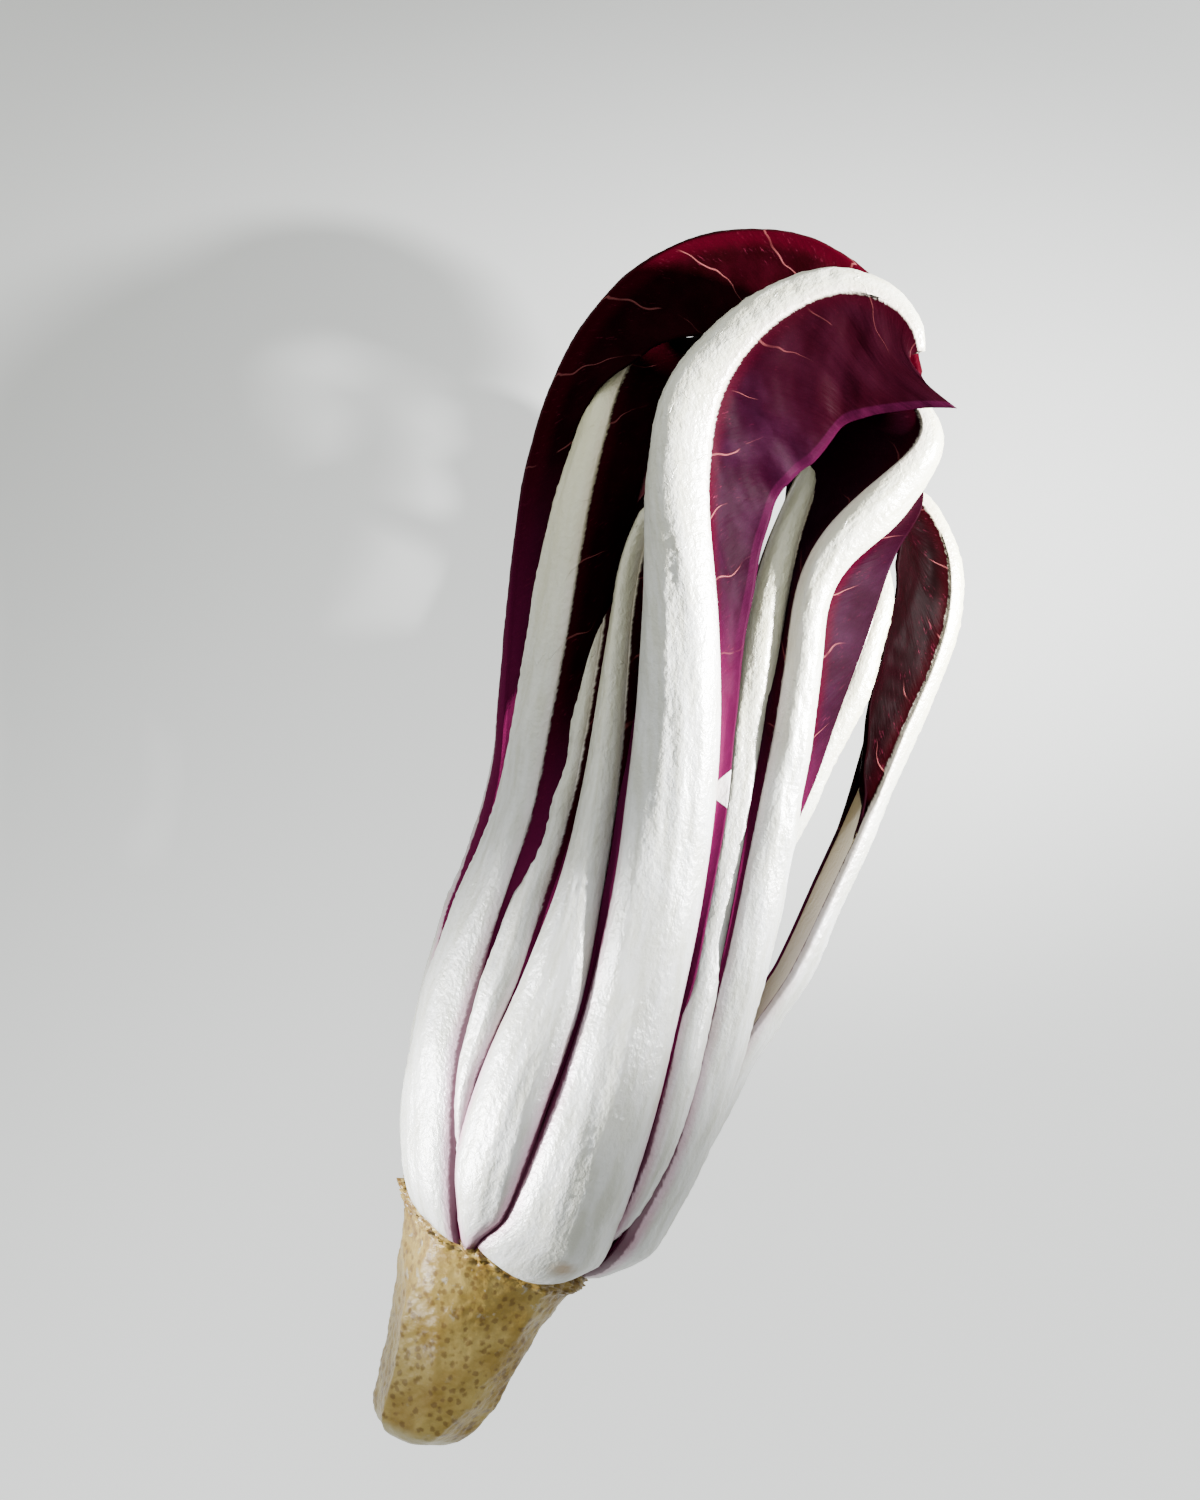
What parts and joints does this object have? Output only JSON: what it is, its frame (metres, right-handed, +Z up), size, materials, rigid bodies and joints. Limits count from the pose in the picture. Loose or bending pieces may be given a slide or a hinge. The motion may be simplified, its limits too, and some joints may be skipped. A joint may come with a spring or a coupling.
{
  "type": "radicchio head",
  "caption": "Head of late red Treviso radicchio lying on its side: long white ribs with dark red blades hooked over at the tips, on a pared root stump.",
  "frame": {"origin": "middle of the whole box across and along, on the surface that the head lies on", "axes": "+Y runs along the head from the root to the leaf tips, +Z up, +X to the right when the head is seen from above with its tips away from the viewer"},
  "size_m": [0.0838, 0.222, 0.0574],
  "materials": {
    "rib": "fleshy white leaf rib, satin with fine bumps",
    "blade": "dark wine-red leaf blade, satin",
    "root": "pared chicory root, damp tan with brown specks"
  },
  "bodies": {
    "root": {"root_stump": "root", "outer_leaf_1_rib": "rib", "outer_leaf_1_blade": "blade", "outer_leaf_2_rib": "rib", "outer_leaf_2_blade": "blade", "outer_leaf_3_rib": "rib", "outer_leaf_3_blade": "blade", "outer_leaf_4_rib": "rib", "outer_leaf_4_blade": "blade", "outer_leaf_5_rib": "rib", "outer_leaf_5_blade": "blade", "outer_leaf_6_rib": "rib", "outer_leaf_6_blade": "blade", "outer_leaf_7_rib": "rib", "outer_leaf_7_blade": "blade", "outer_leaf_8_rib": "rib", "outer_leaf_8_blade": "blade", "outer_leaf_9_rib": "rib", "outer_leaf_9_blade": "blade", "inner_leaf_1_rib": "rib", "inner_leaf_1_blade": "blade", "inner_leaf_2_rib": "rib", "inner_leaf_2_blade": "blade", "inner_leaf_3_rib": "rib", "inner_leaf_3_blade": "blade", "inner_leaf_4_rib": "rib", "inner_leaf_4_blade": "blade", "inner_leaf_5_rib": "rib", "inner_leaf_5_blade": "blade", "inner_leaf_6_rib": "rib", "inner_leaf_6_blade": "blade", "heart_leaf_1_rib": "rib", "heart_leaf_1_blade": "blade", "heart_leaf_2_rib": "rib", "heart_leaf_2_blade": "blade"}
  },
  "joints": []
}
